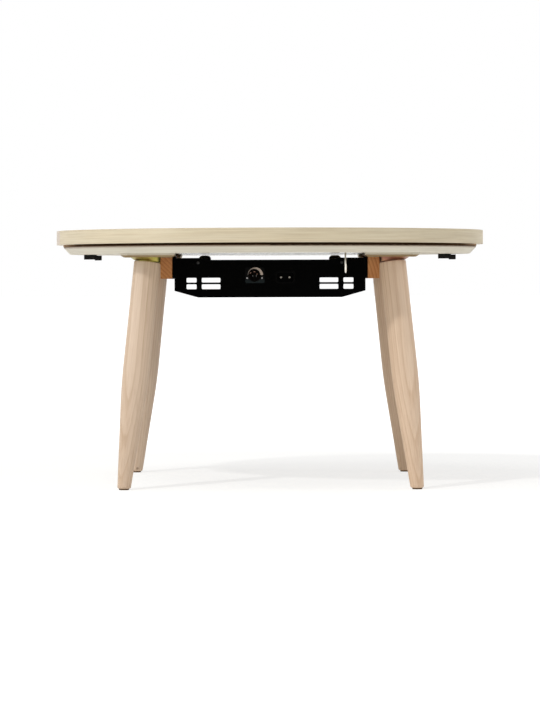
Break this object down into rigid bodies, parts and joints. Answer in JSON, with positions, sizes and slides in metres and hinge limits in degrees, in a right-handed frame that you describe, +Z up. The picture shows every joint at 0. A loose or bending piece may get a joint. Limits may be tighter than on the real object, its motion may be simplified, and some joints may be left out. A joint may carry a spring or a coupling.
{
  "type": "kotatsu table",
  "caption": "Low round heated table with a lift-off top over a bevelled underboard, splayed turned legs and a slim black heater hung between rails.",
  "frame": {"origin": "on the floor under the centre of the round top", "axes": "+Z up, the heater's control panel and cord hook face -Y, +X to the right seen from there"},
  "size_m": [0.6799, 0.68, 0.399],
  "materials": {
    "top_laminate": "pale wood-grain laminate, satin",
    "edge_strip": "pale wood-grain edge strip, satin",
    "board_laminate": "pale wood-grain laminate, matt",
    "limed_beech": "limed turned wood, matt lacquer",
    "raw_poplar": "raw sawn wood",
    "rail_pine": "raw planed softwood",
    "yellow_zinc": "steel with yellow passivated zinc",
    "zinc_screw": "zinc plated steel",
    "zinc_plate": "zinc plated pressed steel",
    "black_enamel": "heat-proof black enamel, satin",
    "black_screw": "blackened steel",
    "black_nylon": "moulded nylon",
    "phenolic": "moulded phenolic resin",
    "bezel_resin": "moulded resin, fine texture",
    "knob_resin": "moulded resin, polished",
    "cap_resin": "moulded heat-proof resin",
    "steatite": "fired ceramic, unglazed",
    "bright_aluminium": "bright rolled sheet",
    "quartz_glass": "drawn quartz tube",
    "heating_wire": "oxidised resistance wire",
    "steel_spindle": "drawn steel",
    "nickel_plate": "bright nickel plate",
    "fibre_washer": "vulcanised fibre",
    "silicone_lead": "silicone insulated lead",
    "fuse_case": "fuse case in a glass sleeve",
    "black_felt": "pressed felt",
    "grey_felt": "pressed felt"
  },
  "bodies": {
    "root": {"frame_board": "board_laminate", "top_felt_ring": "black_felt", "corner_block_front_left": "raw_poplar", "leg_plate_front_left": "yellow_zinc", "leg_front_left": "limed_beech", "foot_glide_front_left": "grey_felt", "corner_block_front_right": "raw_poplar", "leg_plate_front_right": "yellow_zinc", "leg_front_right": "limed_beech", "foot_glide_front_right": "grey_felt", "corner_block_rear_right": "raw_poplar", "leg_plate_rear_right": "yellow_zinc", "leg_rear_right": "limed_beech", "foot_glide_rear_right": "grey_felt", "corner_block_rear_left": "raw_poplar", "leg_plate_rear_left": "yellow_zinc", "leg_rear_left": "limed_beech", "foot_glide_rear_left": "grey_felt", "hanger_bolts": "zinc_screw", "rail_screws": "zinc_screw", "holder_studs": "zinc_screw", "leg_plate_screws": "yellow_zinc", "heater_rail_left": "rail_pine", "heater_rail_right": "rail_pine", "tube_holder_left": "steatite", "tube_holder_right": "steatite", "heater_housing": "black_enamel", "heater_front_panel": "black_enamel", "heater_rear_panel": "black_enamel", "guard_grille": "black_enamel", "panel_screws": "black_screw", "guard_screws": "black_screw", "heater_mount_screws": "black_screw", "mount_spacers": "fibre_washer", "heater_reflector": "bright_aluminium", "quartz_tube": "quartz_glass", "heating_element": "heating_wire", "terminal_caps": "cap_resin", "thermostat_body": "phenolic", "inlet_socket": "phenolic", "dial_bezel": "bezel_resin", "inlet_pins": "nickel_plate", "cord_hook": "nickel_plate", "inner_leads": "silicone_lead", "thermal_fuse": "fuse_case"},
    "tabletop": {"tabletop_panel": "top_laminate", "tabletop_edge_band": "edge_strip", "striker_left": "zinc_plate", "striker_right": "zinc_plate", "striker_screws": "zinc_screw"},
    "lock_left": {"lock_lever_left": "black_nylon", "lock_spindle_left": "zinc_plate", "lock_clip_left": "zinc_plate"},
    "lock_right": {"lock_lever_right": "black_nylon", "lock_spindle_right": "zinc_plate", "lock_clip_right": "zinc_plate"},
    "dial": {"thermostat_knob": "knob_resin", "thermostat_spindle": "steel_spindle"}
  },
  "joints": [
    {"name": "tabletop_lift", "type": "slide", "parent": "root", "child": "tabletop", "axis": [0, 0, 1], "range_m": [0, 0.12]},
    {"name": "lock_left_turn", "type": "hinge", "parent": "root", "child": "lock_left", "pos_m": [-0.283, 0, 0.362], "axis": [0, 0, 1], "range_deg": [0, 90]},
    {"name": "lock_right_turn", "type": "hinge", "parent": "root", "child": "lock_right", "pos_m": [0.283, 0, 0.362], "axis": [0, 0, 1], "range_deg": [0, 90]},
    {"name": "dial_turn", "type": "hinge", "parent": "root", "child": "dial", "pos_m": [-0.0239, -0.15, 0.327], "axis": [0, -1, 0], "range_deg": [-135, 135]}
  ]
}
